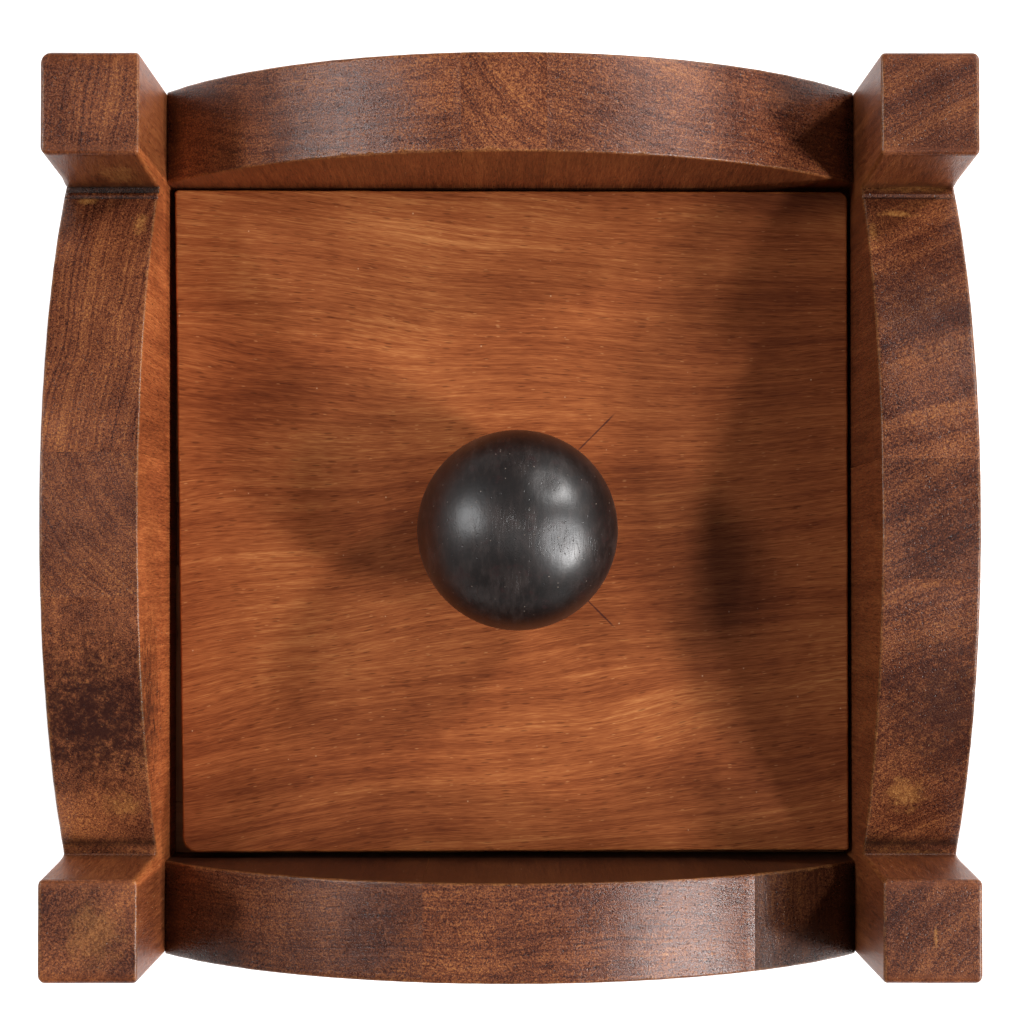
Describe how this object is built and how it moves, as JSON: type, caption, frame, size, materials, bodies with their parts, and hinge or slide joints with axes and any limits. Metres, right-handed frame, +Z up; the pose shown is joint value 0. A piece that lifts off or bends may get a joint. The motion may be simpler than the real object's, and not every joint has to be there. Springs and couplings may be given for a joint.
{
  "type": "puzzle box",
  "caption": "Square wooden puzzle box with a bowed crown and corner blocks; a recessed lift-off lid carries a dark ball knob that throws hidden bolts.",
  "frame": {"origin": "centre of the footprint, on the underside of the box", "axes": "+Z up along the knob, +Y to the back board, +X to the right side board"},
  "size_m": [0.15, 0.1484, 0.1518],
  "materials": {
    "case_wood": "worn satin oil, end grain on the rims",
    "lid_wood": "satin oil, straight grain with open pores",
    "inner_wood": "unfinished, planed",
    "knob_lacquer": "near-black lacquer, semi-gloss, lightly scratched",
    "brass": "plain turned and filed brass",
    "steel": "bright steel"
  },
  "bodies": {
    "case": {"left_wall_rear_stave": "case_wood", "left_wall_middle_stave": "case_wood", "left_wall_front_stave": "case_wood", "right_wall_rear_stave": "case_wood", "right_wall_middle_stave": "case_wood", "right_wall_front_stave": "case_wood", "back_wall_left_stave": "case_wood", "back_wall_middle_stave": "case_wood", "back_wall_right_stave": "case_wood", "front_wall_left_stave": "case_wood", "front_wall_middle_stave": "case_wood", "front_wall_right_stave": "case_wood", "base_panel": "inner_wood", "base_screws": "brass", "corner_dowels": "inner_wood", "ledge_back_left": "inner_wood", "ledge_back_right": "inner_wood", "ledge_front_left": "inner_wood", "ledge_front_right": "inner_wood", "ledge_left_front": "inner_wood", "ledge_left_rear": "inner_wood", "ledge_right_front": "inner_wood", "ledge_right_rear": "inner_wood", "keeper_back": "inner_wood", "keeper_front": "inner_wood", "keeper_left": "inner_wood", "keeper_right": "inner_wood", "ledge_screws": "brass"},
    "lid": {"lid_panel": "lid_wood", "bolt_carrier": "inner_wood", "cover_plate": "inner_wood", "cover_screws": "brass", "carrier_screws": "brass", "tilt_plug": "inner_wood", "spindle_bush": "brass"},
    "knob": {"knob_ball": "knob_lacquer", "knob_spindle": "steel", "spindle_washer": "brass", "spindle_nut": "steel", "cam_disc": "brass"},
    "bolt_back_body": {"bolt_back": "brass", "follower_back": "steel"},
    "bolt_front_body": {"bolt_front": "brass", "follower_front": "steel"},
    "bolt_left_body": {"bolt_left": "brass", "follower_left": "steel"},
    "bolt_right_body": {"bolt_right": "brass", "follower_right": "steel"},
    "tilt_pin_body": {"tilt_pin": "steel"}
  },
  "joints": [
    {"name": "lid_lift", "type": "slide", "parent": "case", "child": "lid", "axis": [0, 0, 1], "range_m": [0, 0.09]},
    {"name": "knob_turn", "type": "hinge", "parent": "lid", "child": "knob", "pos_m": [0.0012, -0.0019, 0.119], "axis": [0, 0, 1], "range_deg": [0, 90]},
    {"name": "bolt_back_slide", "type": "slide", "parent": "lid", "child": "bolt_back_body", "axis": [0, 1, 0], "range_m": [0, 0.007]},
    {"name": "bolt_front_slide", "type": "slide", "parent": "lid", "child": "bolt_front_body", "axis": [0, -1, 0], "range_m": [0, 0.007]},
    {"name": "bolt_left_slide", "type": "slide", "parent": "lid", "child": "bolt_left_body", "axis": [-1, 0, 0], "range_m": [0, 0.007]},
    {"name": "bolt_right_slide", "type": "slide", "parent": "lid", "child": "bolt_right_body", "axis": [1, 0, 0], "range_m": [0, 0.007]},
    {"name": "tilt_pin_slide", "type": "slide", "parent": "lid", "child": "tilt_pin_body", "axis": [-0.7071, -0.7071, 0], "range_m": [0, 0.0045]}
  ],
  "couplings": [
    {"joint": "bolt_back_slide", "follows": "knob_turn", "m_per_rad": 0.0044563},
    {"joint": "bolt_front_slide", "follows": "knob_turn", "m_per_rad": 0.0044563},
    {"joint": "bolt_left_slide", "follows": "knob_turn", "m_per_rad": 0.0044563},
    {"joint": "bolt_right_slide", "follows": "knob_turn", "m_per_rad": 0.0044563}
  ]
}
